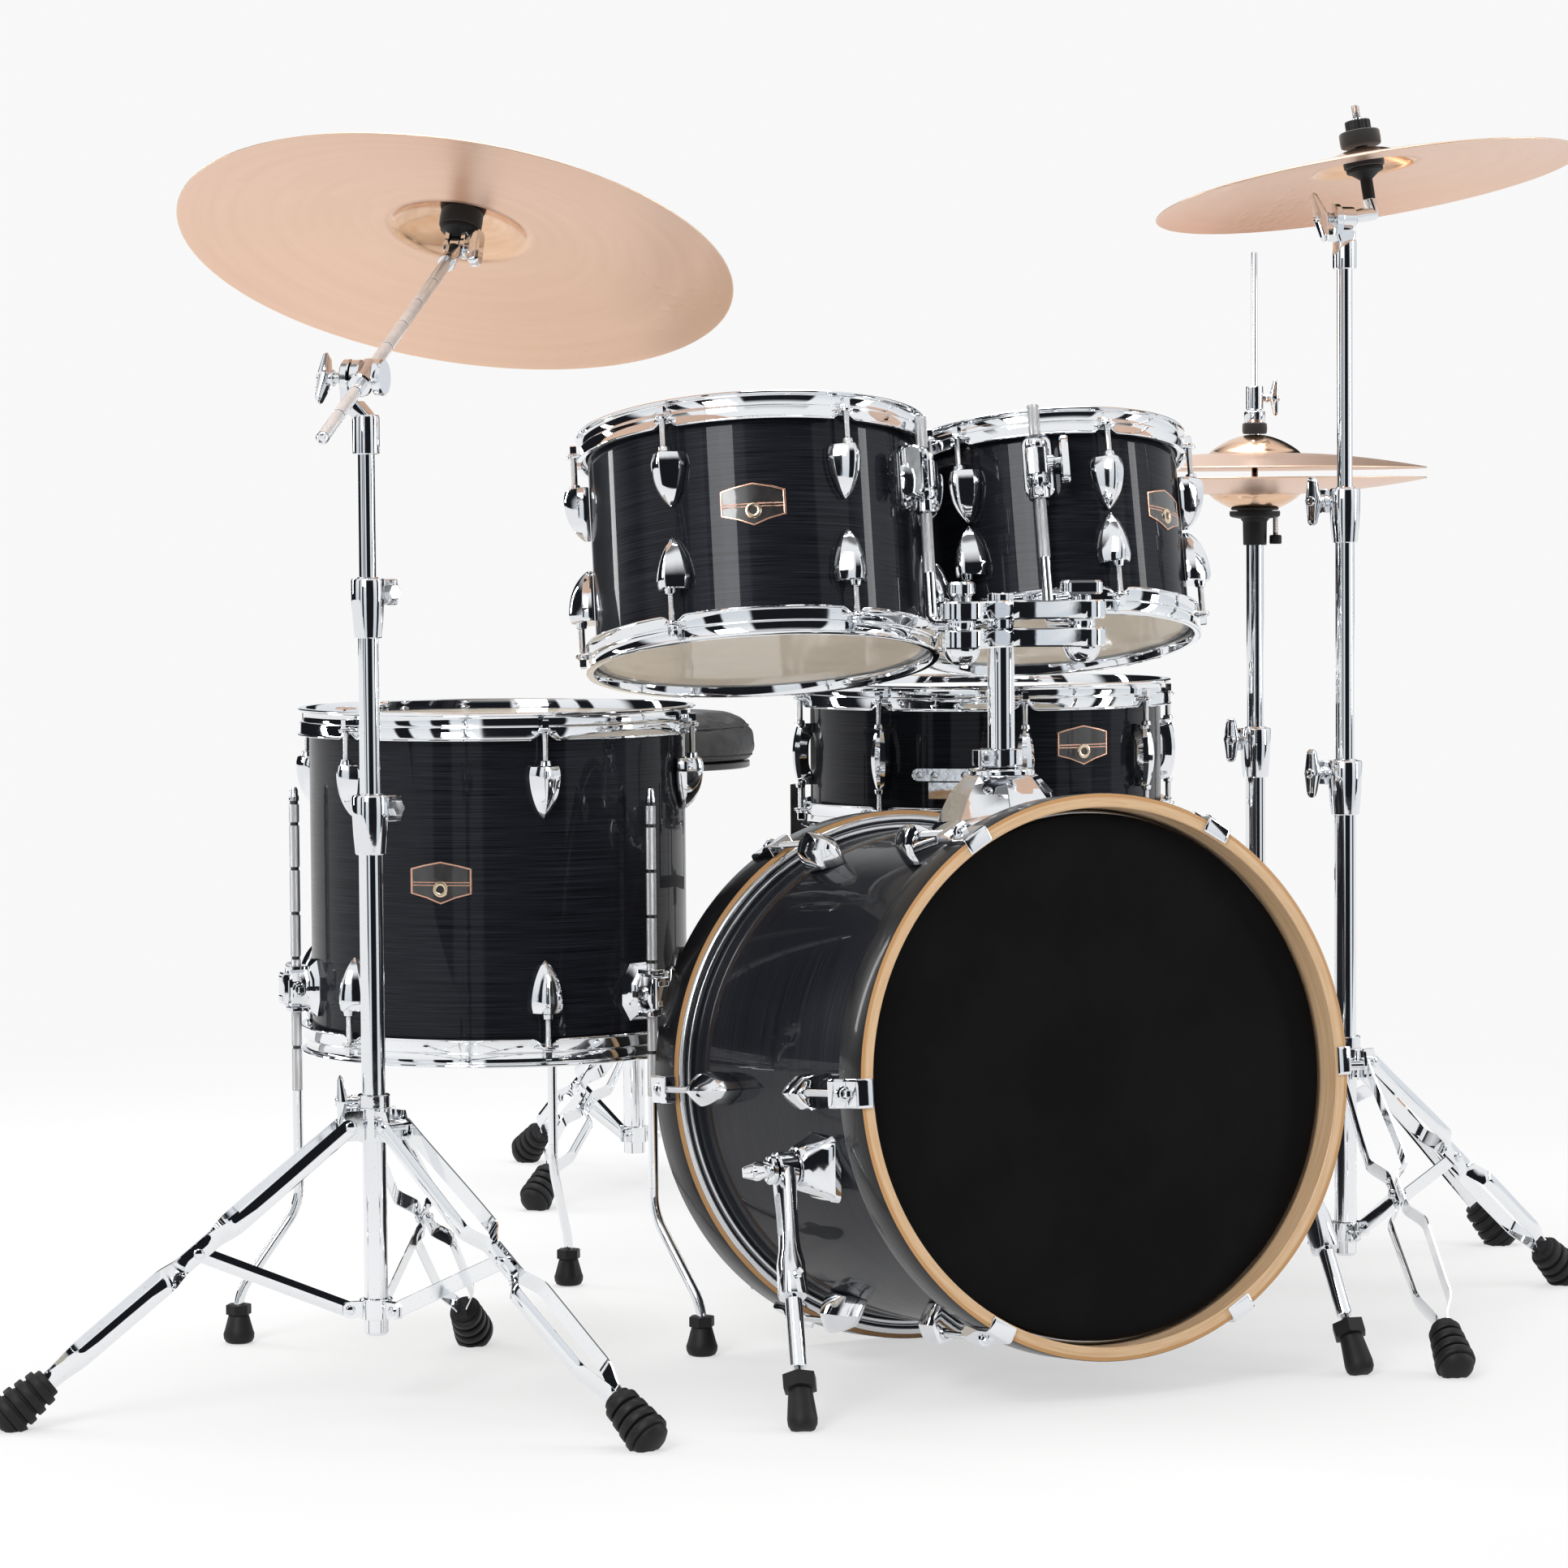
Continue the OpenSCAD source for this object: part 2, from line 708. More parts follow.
module floor_leg_brackets() {
    color(chrome) kit() translate([floor_tom_at[0], floor_tom_at[1], bracket_z]) difference() {
        for (a = floor_leg_dir) rotate([0, 0, a]) {
            translate([floor_tom_d / 2 - 4, -19, -5]) cube([8, 38, bracket_h + 10]);
            translate([floor_tom_d / 2, -13, 0]) cube([floor_leg_off, 26, bracket_h]);
            translate([floor_rod_at, 0, 0]) cylinder(r = 13, h = bracket_h);
            translate([floor_rod_at, 0, bracket_h / 2]) rotate([90, 0, 0])
                translate([0, 0, 13]) wing_nut(6, 30);
        }
        for (a = floor_leg_dir) rotate([0, 0, a]) translate([floor_rod_at, 0, -20])
            cylinder(r = floor_leg_r + tube_fit, h = bracket_h + 40);
        translate([0, 0, -20]) cylinder(r = floor_tom_d / 2 + seam, h = bracket_h + 40, $fn = 96);
    }
}

// A bent leg rod with its rubber foot, in the kit's frame
module floor_leg(a) {
    foot_at = floor_tom_d / 2 + floor_foot_off;
    knee = 127;
    ankle = 46;
    translate([floor_tom_at[0], floor_tom_at[1], 0]) rotate([0, 0, a]) {
        bar([floor_rod_at, 0, knee], [floor_rod_at, 0, floor_leg_top], floor_leg_r);
        translate([floor_rod_at, 0, knee]) sphere(r = floor_leg_r + bend_swell);
        bar([floor_rod_at, 0, knee], [foot_at, 0, ankle], floor_leg_r);
        translate([foot_at, 0, ankle]) sphere(r = floor_leg_r + bend_swell);
        bar([foot_at, 0, 12], [foot_at, 0, ankle], floor_leg_r);
        translate([foot_at, 0, 0]) difference() {
            rotate_extrude($fn = 32) polygon([[0, 0], [9, 0], [15, 8], [15, 12], [10, 34], [0, 34]]);
            translate([0, 0, 11.9]) cylinder(r = floor_leg_r + seam, h = 60);
        }
    }
}

module floor_leg_left() { color(chrome) kit() floor_leg(floor_leg_dir[0]); }
module floor_leg_front() { color(chrome) kit() floor_leg(floor_leg_dir[1]); }
module floor_leg_back() { color(chrome) kit() floor_leg(floor_leg_dir[2]); }

// ---- Snare drum ----

module snare_shell() { color(black_shell) snare() shell(snare_d, snare_depth); }

module snare_hoops() {
    color(chrome) snare() two_ends(snare_depth) metal_hoop(snare_d / 2, snare_lugs);
}

module snare_heads() { color(film) snare() two_ends(snare_depth) head(snare_d / 2); }

bridge_h = 62;
bridge_w = 18;

// Bridge lugs, open between their two feet, with a rod from each hoop
module snare_lugs() {
    r = snare_d / 2;
    rod_in = snare_depth / 2 + hoop_foot - bridge_h / 2;
    color(chrome) snare() {
        difference() {
            around(snare_lugs[0], snare_lugs[1]) difference() {
                translate([r - 3, -bridge_w / 2, -bridge_h / 2]) cube([24, bridge_w, bridge_h]);
                translate([r, bridge_w, -bridge_h / 2 + 13]) rotate([90, 0, 0])
                    linear_extrude(2 * bridge_w) square([6.5, bridge_h - 26]);
            }
            translate([0, 0, -bridge_h]) cylinder(r = r + seam, h = 2 * bridge_h, $fn = 96);
            around(snare_lugs[0], snare_lugs[1]) for (s = [-1, 1])
                translate([r + rod_off, 0, s * (bridge_h / 2 - 5)])
                    cylinder(r = rod_r + seam, h = 20, center = true);
        }
        two_ends(snare_depth) around(snare_lugs[0], snare_lugs[1])
            translate([r + rod_off, 0, hoop_foot + ear_t + seam]) {
                translate([0, 0, -rod_in - ear_t - 12]) cylinder(r = rod_r, h = rod_in + ear_t + 12);
                cylinder(r = rod_r + 1.8, h = 1.5);
                cylinder(r = rod_r + 1, h = 12);
            }
    }
}

strainer_dir = 49.5;
butt_dir = -130.5;

// Strainer body, butt plate and the band of snare wires under the lower head
module snare_strainer() {
    r = snare_d / 2;
    wires_low = -snare_depth / 2 - 0.8 - 2;
    color(chrome) snare() difference() {
        union() {
            rotate([0, 0, strainer_dir]) translate([r - 4, -16, -40]) cube([20, 32, 52]);
            rotate([0, 0, butt_dir]) translate([r - 4, -21, -38]) cube([16, 42, 16]);
            rotate([0, 0, strainer_dir]) translate([-150, -21, wires_low]) cube([300, 42, 1.6]);
        }
        translate([0, 0, -60]) difference() {
            cylinder(r = r + seam, h = 120, $fn = 96);
            translate([0, 0, -20]) cylinder(r = r - 20, h = 20, $fn = 96);
        }
        rotate([0, 0, strainer_dir]) translate([r + 8, -30, 4]) rotate([-90, 0, 0])
            cylinder(r = 3 + tube_fit, h = 60);
    }
}

// The throw-off lever, folded up along the strainer
module snare_lever() {
    r = snare_d / 2;
    color(chrome) snare() rotate([0, 0, strainer_dir]) {
        translate([r + 8, -20, 4]) rotate([-90, 0, 0]) cylinder(r = 3, h = 40);
        for (y = [-20, 16.4]) translate([r + 4, y, 0]) cube([18, 3.6, 14]);
        translate([r + 17, -20, 12]) cube([5, 40, 26]);
    }
}

// ---- Tripods ----

foot_grip = 27;              // length of the strips held in a foot

// Half gap between a leg's two strips along a leg, as [share of its length, half gap]
function strip_line(len) = [[0, 13], [0.36, 17], [pinch - 0.04, 2], [pinch + 0.04, 2], [0.58, 16],
    [0.92 - foot_grip / len, 15], [1 - foot_grip / len, 3.2], [1, 3.2]];

// One leg: two bent strips from the upper pivot to the foot, in the plane of +X and +Z
module tripod_leg(reach, top_z, low_z, sleeve) {
    start = [pivot_r, top_z];
    end = [reach - 12, foot_h * 0.62];
    run = end - start;
    len = norm(run);
    slope = atan2(run[1], run[0]);
    mid = start + run * pinch;
    brace_run = [pivot_r, low_z] - mid;
    line = strip_line(len);
    translate([start[0], 0, start[1]]) rotate([0, -slope, 0]) {
        for (s = [-1, 1]) translate([0, 0, -strip_w / 2]) linear_extrude(strip_w)
            polygon(concat([for (p = line) [p[0] * len, s * p[1]]],
                [for (i = [7 : -1 : 0]) [line[i][0] * len, s * (line[i][1] + strip_t)]]));
        translate([pinch * len, 0, 0]) rotate([90, 0, 0])
            cylinder(r = 3, h = 15, center = true);
    }
    translate([start[0], 0, start[1]]) rotate([90, 0, 0]) cylinder(r = 3, h = 34, center = true);
    difference() {
        translate([mid[0], 0, mid[1]]) rotate([0, -atan2(brace_run[1], brace_run[0]), 0])
            translate([-5, -1, -strip_w / 2]) cube([norm(brace_run) + 9, 2, strip_w]);
        translate([mid[0], 0, mid[1]]) rotate([90, 0, 0])
            cylinder(r = 3 + seam, h = 20, center = true);
        translate([pivot_r, 0, low_z]) rotate([90, 0, 0])
            cylinder(r = 3 + seam, h = 20, center = true);
        translate([0, 0, -1]) cylinder(r = sleeve + 3 + seam, h = top_z);
    }
    translate([pivot_r, 0, low_z]) rotate([90, 0, 0]) cylinder(r = 3, h = 12, center = true);
}

// A collar on the tube with a pair of ears for each leg or brace
module pivot_collar(r_in, h, dirs, ear_gap, ear_t) {
    ring(r_in + 4, r_in + seam, h);
    for (a = dirs) rotate([0, 0, a]) for (s = [-1, 1])
        translate([r_in + 2, s > 0 ? ear_gap : -ear_gap - ear_t, 2]) difference() {
            cube([pivot_r - r_in + 5, ear_t, h - 4]);
            translate([pivot_r - r_in - 2, -1, h / 2 - 2]) rotate([-90, 0, 0])
                cylinder(r = 3 + seam, h = ear_t + 2);
        }
}

// Legs, braces and collars around a tube of radius r, with its feet's reach and two heights
module tripod(r, reach, top_z, low_z, dirs) {
    translate([0, 0, top_z - hub_h / 2]) pivot_collar(r, hub_h, dirs, 9.5, 2.5);
    translate([0, 0, low_z - 9]) pivot_collar(r, 18, dirs, 1.6, 2);
    for (a = dirs) rotate([0, 0, a]) tripod_leg(reach, top_z, low_z, r + 4);
}

function three(first) = [first, first + 120, first + 240];

// A rubber foot that takes the ends of a leg's strips
module leg_foot(reach, top_z) {
    start = [pivot_r, top_z];
    end = [reach - 12, foot_h * 0.62];
    slope = atan2(end[1] - start[1], end[0] - start[0]);
    len = norm(end - start);
    difference() {
        intersection() {
            translate([end[0], 0, end[1]]) rotate([0, 90 - slope, 0]) {
                translate([0, 0, -24]) cylinder(r = 14, h = 70);
                for (k = [0 : 3]) translate([0, 0, -18 + k * 11]) cylinder(r = 17 + k, h = 6);
            }
            union() {
                translate([reach, 0, 0]) cylinder(r = foot_r, h = 80);
                translate([reach - 80, -foot_r, 0]) cube([80, 2 * foot_r, 80]);
            }
        }
        translate([start[0], 0, start[1]]) rotate([0, -slope, 0])
            translate([len - 40, -6 - seam, -strip_w / 2 - seam]) cube([40 + seam, 12 + 2 * seam,
                strip_w + 2 * seam]);
    }
}

module feet_at(at, reach, top_z, dirs) {
    translate([at[0], at[1], 0]) for (a = dirs) rotate([0, 0, a]) leg_foot(reach, top_z);
}

module stand_feet() {
    color(rubber) kit() {
        feet_at(ride_stand_at, leg_reach, leg_pivot_z, three(ride_leg_dir));
        feet_at(crash_stand_at, leg_reach, leg_pivot_z, three(crash_leg_dir));
        feet_at(snare_at, snare_leg_reach, snare_pivot_z, three(snare_leg_dir));
        feet_at(throne_at, throne_leg_reach, throne_pivot_z, three(throne_leg_dir));
        feet_at(hihat_at, hihat_leg_reach, hihat_pivot_z, hihat_leg_dir);
    }
}

// Height adjuster at the top of a tube: sleeve, bush for the tube inside it, and wing screw
module adjuster(outer, inner, turn) {
    difference() {
        union() {
            translate([0, 0, -collar_h + 8]) cylinder(r = outer + 4.5, h = collar_h);
            rotate([0, 0, turn]) translate([outer + 2, -8, -26]) cube([9, 16, 28]);
        }
        translate([0, 0, -collar_h]) cylinder(r = outer + seam, h = collar_h);
        cylinder(r = inner + tube_fit, h = 20);
    }
    rotate([0, 0, turn]) translate([outer + 11 + seam, 0, -12]) rotate([0, 90, 0]) wing_nut();
}

module tube(r, low, high) {
    translate([0, 0, low]) ring(r, r - tube_wall, high - low);
}

module at_floor(at) {
    kit() translate([at[0], at[1], 0]) children();
}

// ---- Boom stand with the ride cymbal ----

ride_turn = -20;
crash_turn = 160;

module ride_stand() {
    color(chrome) at_floor(ride_stand_at) {
        tube(base_r, brace_z - 20, ride_base_top);
        tripod(base_r, leg_reach, leg_pivot_z, brace_z, three(ride_leg_dir));
        translate([0, 0, ride_base_top]) adjuster(base_r, mid_r, ride_turn);
    }
}

// Middle and upper tubes, their adjuster, and the forked block on top
module ride_tube() {
    color(chrome) at_floor(ride_stand_at) {
        tube(mid_r, ride_base_top - tube_lap, ride_mid_top);
        translate([0, 0, ride_mid_top]) adjuster(mid_r, top_r, ride_turn);
        tube(top_r, ride_mid_top - top_lap, ride_top_z - 20);
        difference() {
            union() {
                translate([0, 0, ride_top_z - head_grip]) cylinder(r = top_r + 4.5, h = head_l);
                rotate([0, 0, boom_dir - 90]) translate([-19, -11, ride_top_z - 16])
                    cube([8, 22, boom_at[2] - ride_top_z + 16]);
                rotate([0, 0, boom_dir - 90]) translate([-19, -11, ride_top_z - 16])
                    cube([24, 22, 8]);
                rotate([0, 0, boom_dir - 90]) translate([-19, 0, boom_at[2]]) rotate([0, 90, 0])
                    cylinder(r = 12, h = 8);
            }
            translate([0, 0, ride_top_z - 41]) cylinder(r = top_r + seam, h = 21);
            rotate([0, 0, boom_dir - 90]) translate([-20, 0, boom_at[2]]) rotate([0, 90, 0])
                cylinder(r = 4 + tube_fit, h = 10);
        }
    }
}

function boom_end() = ride_at + lean_axis(ride_lean) * ride_joint;
function boom_way() = (boom_end() - boom_at) / norm(boom_end() - boom_at);
boom_len = norm(boom_end() - boom_at);

// Ratchet barrel that holds the boom, turning on its bolt and wing nut
module ride_boom_clamp() {
    color(chrome) kit() difference() {
        translate(boom_at) rotate([0, 0, boom_dir - 90]) {
            translate([-11 + air, 0, 0]) rotate([0, 90, 0]) cylinder(r = 12, h = 24);
            translate([-19 - air - 4, 0, 0]) rotate([0, 90, 0]) cylinder(r = 4, h = 14);
            translate([-19 - air, 0, 0]) rotate([0, -90, 0]) wing_nut(8, 36);
            translate([13, 0, 0]) rotate([0, 90, 0]) cylinder(r = 8, h = 6, $fn = 6);
        }
        bar(boom_at - boom_way() * 40, boom_at + boom_way() * 40, boom_r + tube_fit);
    }
}

module ride_boom() {
    color(chrome) kit() {
        bar(boom_at - boom_way() * boom_tail, boom_at + boom_way() * (boom_len - 14), boom_r);
        bar(boom_at + boom_way() * (boom_len - 40), boom_at + boom_way() * (boom_len - 16), 8);
        translate(boom_end()) rotate([0, 0, ride_lean[1] - 90]) translate([-yoke_half, 0, 0])
            rotate([0, 90, 0]) ring(10, 4 + tube_fit, 2 * yoke_half);
        difference() {
            bar(boom_at + boom_way() * (boom_len - 17), boom_end(), 4);
            translate(boom_end()) rotate([0, 0, ride_lean[1] - 90]) translate([-20, 0, 0])
                rotate([0, 90, 0]) cylinder(r = 9, h = 40);
        }
    }
}

// A cymbal's post with its sleeve, cup and the two felts, on an axis that starts at the tilter
module cymbal_post(low, bell, tip) {
    translate([0, 0, low]) cylinder(r = cymbal_post_r, h = tip - tip_h - low);
    translate([0, 0, tip - tip_h]) cylinder(r = cymbal_post_r - 0.2, h = tip_h);
    translate([0, 0, bell - 24]) ring(8, cymbal_post_r + seam, 6 - seam);
    rotate_extrude() polygon([[cymbal_post_r + seam, bell - 18], [felt_r - 1, bell - 18],
        [felt_r - 1, bell - felt_low - 5], [cymbal_hole - sleeve_gap, bell - felt_low],
        [cymbal_hole - sleeve_gap, bell + felt_high - seam],
        [cymbal_post_r + seam, bell + felt_high - seam]]);
    rotate_extrude() polygon([[cymbal_post_r + seam, bell + felt_high],
        [cymbal_hole, bell + felt_high], [felt_r, bell + felt_high + 2], [felt_r, bell + 15],
        [cymbal_post_r + seam, bell + 15]]);
    translate([0, 0, bell + 15 + seam]) difference() {
        union() {
            cylinder(r = 12, h = 6);
            cylinder(r = 7, h = 12);
        }
        translate([0, 0, -1]) cylinder(r = cymbal_post_r + seam, h = 20);
    }
}

module ride_tilter() {
    inner = yoke_half + air;
    color(chrome) kit() {
        translate(boom_end()) lean(ride_lean) rotate([0, 0, ride_lean[1] - 90]) {
            for (s = [-1, 1]) {
                translate([s > 0 ? inner : -inner - 5, -7, 0]) cube([5, 14, 20]);
                translate([s > 0 ? inner : -inner - 5, 0, 0]) rotate([0, 90, 0])
                    cylinder(r = 10, h = 5);
            }
            translate([-inner - 5, -7, 12]) cube([2 * inner + 10, 14, 8]);
            translate([-inner - 8, 0, 0]) rotate([0, 90, 0]) cylinder(r = 4, h = 2 * inner + 14);
            translate([inner + 5 + seam, 0, 0]) rotate([0, 90, 0]) wing_nut(6, 28);
        }
        translate(ride_at) lean(ride_lean)
            cymbal_post(ride_joint + 14, ride_shape[0] + ride_shape[1], 94);
    }
}

// Height of a cymbal's top face at radius r, for shape [bow height, bell height, bell radius]
function cymbal_z(shape, big_r, r) = r > shape[2]
    ? shape[0] * (1 - pow((r - shape[2]) / (big_r - shape[2]), 1.6))
    : shape[0] + shape[1] * pow(cos(90 * r / shape[2]), 0.8);

cymbal_steps = 12;
cymbal_hole = 6.5;

module cymbal(d, shape) {
    big_r = d / 2;
    radii = concat([for (i = [0 : cymbal_steps]) cymbal_hole
        + (shape[2] - cymbal_hole) * i / cymbal_steps],
        [for (i = [1 : cymbal_steps]) shape[2] + (big_r - shape[2]) * i / cymbal_steps]);
    last = len(radii) - 1;
    rotate_extrude($fn = 96) polygon(concat(
        [for (r = radii) [r, cymbal_z(shape, big_r, r)]],
        [for (i = [last : -1 : 0]) [radii[i], cymbal_z(shape, big_r, radii[i]) - cymbal_t]]));
}

module ride_cymbal() {
    color(bronze) kit() translate(ride_at) lean(ride_lean) cymbal(ride_d, ride_shape);
}

// ---- Straight stand with the crash cymbal ----

module crash_stand() {
    color(chrome) at_floor(crash_stand_at) {
        tube(base_r, brace_z - 20, crash_base_top);
        tripod(base_r, leg_reach, leg_pivot_z, brace_z, three(crash_leg_dir));
        translate([0, 0, crash_base_top]) adjuster(base_r, mid_r, crash_turn);
    }
}

crash_pivot = [crash_stand_at[0], crash_stand_at[1], crash_top_z + 18];

module crash_tube() {
    color(chrome) {
        at_floor(crash_stand_at) {
            tube(mid_r, crash_base_top - tube_lap, crash_mid_top);
            translate([0, 0, crash_mid_top]) adjuster(mid_r, top_r, crash_turn);
            tube(top_r, crash_mid_top - top_lap, crash_top_z - 16);
            difference() {
                union() {
                    translate([0, 0, crash_top_z - 30]) cylinder(r = top_r + 4, h = 28);
                    translate([-16, -11, crash_top_z - 10]) cube([8, 22, 28]);
                    translate([-16, -11, crash_top_z - 10]) cube([20, 22, 8]);
                    translate([-16, 0, crash_top_z + 18]) rotate([0, 90, 0])
                        cylinder(r = 11, h = 8);
                }
                translate([0, 0, crash_top_z - 31]) cylinder(r = top_r + seam, h = 15);
                translate([-20, 0, crash_top_z + 18]) rotate([0, 90, 0])
                    cylinder(r = 4 + tube_fit, h = 30);
            }
        }
    }
}

// Crank that turns on the stand's top and carries the cymbal's post
module crash_tilter() {
    foot = crash_at + lean_axis(crash_lean) * crash_joint;
    color(chrome) kit() {
        translate(crash_pivot) rotate([0, 90, 0]) translate([0, 0, -8 + air]) cylinder(r = 11, h = 16);
        translate(crash_pivot) rotate([0, 90, 0]) translate([0, 0, -26]) cylinder(r = 4, h = 30);
        translate(crash_pivot + [-16 - air, 0, 0]) rotate([0, -90, 0]) wing_nut(6, 30);
        bar(crash_pivot + [2, 0, 0], foot, 5);
        translate(foot) sphere(r = 6.5);
        translate(crash_at) lean(crash_lean)
            cymbal_post(crash_joint, crash_shape[0] + crash_shape[1], 78);
    }
}

module crash_cymbal() {
    color(bronze) kit() translate(crash_at) lean(crash_lean) cymbal(crash_d, crash_shape);
}

// ---- Hi-hat ----

hat_cup_z = hat_edge_z - cymbal_z(hat_shape, hat_d / 2, cymbal_hole) - seam;
hat_top_z = hat_edge_z + hat_gap;
hat_bell_z = hat_top_z + hat_shape[0] + hat_shape[1];
pedal_len = 285;
rail_t = 5;                  // thickness of the pedal's two floor rails and heel plate
heel_at = [pedal_len, 26];
toe_x = 34;
toe_z = 92;

// Tripod, lower tube, pedal frame and heel plate
module hihat_stand() {
    color(chrome) at_floor(hihat_at) {
        tube(base_r, 60, hihat_base_top);
        tripod(base_r, hihat_leg_reach, hihat_pivot_z, hihat_brace_z, hihat_leg_dir);
        translate([0, 0, hihat_base_top]) adjuster(base_r, mid_r, crash_turn);
        rotate([0, 0, pedal_dir]) {
            difference() {
                union() {
                    translate([0, 0, 62]) cylinder(r = base_r + 5, h = 22);
                    for (s = [-1, 1]) translate([-8, s > 0 ? 38 : -44, rail_t + seam])
                        cube([16, 6, 82 - rail_t - seam]);
                    translate([-8, -44, 66]) cube([16, 88, 16]);
                }
                translate([0, 0, 61]) cylinder(r = base_r + seam, h = 40);
                cylinder(r = 6, h = 100);
            }
            translate([-14, -46, 0]) cube([pedal_len + 44, 12, rail_t]);
            translate([-14, 34, 0]) cube([pedal_len + 44, 12, rail_t]);
            translate([pedal_len - 22, -33.9, 0]) cube([52, 67.8, rail_t]);
            difference() {
                for (s = [-1, 1]) translate([pedal_len - 8, s > 0 ? 32 : -40, rail_t + seam])
                    cube([16, 8, 29]);
                translate([heel_at[0], -50, heel_at[1]]) rotate([-90, 0, 0])
                    cylinder(r = 3 + tube_fit, h = 100);
            }
        }
    }
}

module hihat_tube() {
    color(chrome) at_floor(hihat_at) {
        tube(mid_r, hihat_base_top - tube_lap, hat_cup_z - 40);
        difference() {
            union() {
                translate([0, 0, hat_cup_z - 62]) cylinder(r = mid_r + 3, h = 34);
                translate([0, 0, hat_cup_z - 28]) cylinder(r1 = mid_r + 5, r2 = 20, h = 12);
                translate([0, 0, hat_cup_z - 16]) cylinder(r = 20, h = 16);
            }
            translate([0, 0, hat_cup_z - 63]) cylinder(r = mid_r + seam, h = 23);
            translate([0, 0, hat_cup_z - 70]) cylinder(r = hihat_rod_r + tube_fit, h = 90);
        }
    }
}

// Pull rod from the pedal to the top, with the clutch that holds the upper cymbal
module hihat_rod() {
    color(chrome) at_floor(hihat_at) {
        translate([0, 0, toe_z + 12]) cylinder(r = hihat_rod_r, h = hihat_rod_top - toe_z - 12);
        difference() {
            union() {
                translate([0, 0, hat_bell_z + 26]) cylinder(r = 9, h = 24);
                translate([0, 0, hat_bell_z + 38]) rotate([0, 90, -27]) translate([0, 0, 8])
                    wing_nut(5, 26);
                translate([0, 0, hat_bell_z + 14]) cylinder(r = 10, h = 10);
                translate([0, 0, hat_bell_z + 0.4]) cylinder(r = 14, h = 12);
                translate([0, 0, hat_bell_z - 12]) cylinder(r = 5.6, h = 40);
                translate([0, 0, hat_bell_z - 14]) cylinder(r = 9, h = 11.2);
            }
            translate([0, 0, hat_bell_z - 20]) cylinder(r = hihat_rod_r + seam, h = 90);
        }
    }
}

module hihat_bottom_cymbal() {
    color(bronze) at_floor(hihat_at) translate([0, 0, hat_edge_z]) mirror([0, 0, 1])
        cymbal(hat_d, hat_shape);
}

module hihat_top_cymbal() {
    color(bronze) at_floor(hihat_at) translate([0, 0, hat_top_z]) cymbal(hat_d, hat_shape);
}

module board(length, w) {
    rotate([90, 0, 90]) linear_extrude(length) polygon([[-w / 2, 0], [w / 2, 0], [w / 2, 5],
        [w / 2 - 4, 8], [-w / 2 + 4, 8], [-w / 2, 5]]);
}

// Footboard, hinged at the heel
module hihat_pedal() {
    rise = atan2(toe_z - heel_at[1] - 18, pedal_len - toe_x);
    color(chrome) at_floor(hihat_at) rotate([0, 0, pedal_dir]) {
        translate([heel_at[0], 0, heel_at[1]]) rotate([0, 0, 180]) rotate([0, -rise, 0])
            translate([6, 0, -4]) board(pedal_len - toe_x - 4, 62);
        translate([heel_at[0], -44, heel_at[1]]) rotate([-90, 0, 0]) cylinder(r = 3, h = 88);
        difference() {
            translate([heel_at[0] - 12, -31, heel_at[1] - 5]) cube([19, 62, 12]);
            translate([heel_at[0], -44, heel_at[1]]) rotate([-90, 0, 0])
                cylinder(r = 2, h = 88);
        }
    }
}

// ---- Throne ----

throne_r = throne_tube_d / 2;
seat_low = seat_top - seat_t;

module throne_base() {
    color(chrome) at_floor(throne_at) {
        tube(throne_r, throne_brace_z - 22, throne_base_top);
        tripod(throne_r, throne_leg_reach, throne_pivot_z, throne_brace_z, three(throne_leg_dir));
        translate([0, 0, throne_base_top]) adjuster(throne_r, throne_post_d / 2, 200);
    }
}

module throne_seat() {
    color(vinyl) at_floor(throne_at) {
        translate([0, 0, throne_base_top - 150])
            cylinder(r = throne_post_d / 2, h = seat_low - 12 - throne_base_top + 150 - seam);
        translate([0, 0, seat_low - 12]) cylinder(r = 45, h = 4);
        translate([0, 0, seat_low - 8]) cylinder(r = seat_d / 2 - 12, h = 8 - seam);
        rotate_extrude($fn = 96) polygon([[0, seat_low], [seat_d / 2 - 8, seat_low],
            [seat_d / 2, seat_low + 8], [seat_d / 2, seat_top - 16], [seat_d / 2 - 6, seat_top - 6],
            [seat_d / 2 - 18, seat_top], [0, seat_top]]);
    }
}

// ---- Bass drum pedal ----

hoop_back = bass_half * cos(bass_tilt) - bass_hoop_r * sin(bass_tilt);
kick_y = hoop_back + 8;
kick_heel_y = 462;
kick_axle_z = 218;
kick_toe_z = 96;
beater_lean = 42;
beater_len = 172;
kick_post_x = 43;
jaw_in = 12;                 // how far the jaw that holds the hoop down reaches over it

// Jaw that follows the inside of the drummer's hoop
module hoop_jaw() {
    difference() {
        kit() translate([pedal_x - 12, hoop_back - jaw_in, 8]) cube([24, kick_y + 24 - hoop_back
            + jaw_in - 2, 20]);
        bass() translate([0, 0, bass_half - bass_hoop_w])
            ring(bass_hoop_r + 30, bass_hoop_in - seam, bass_hoop_w + seam, $fn = 96);
    }
}

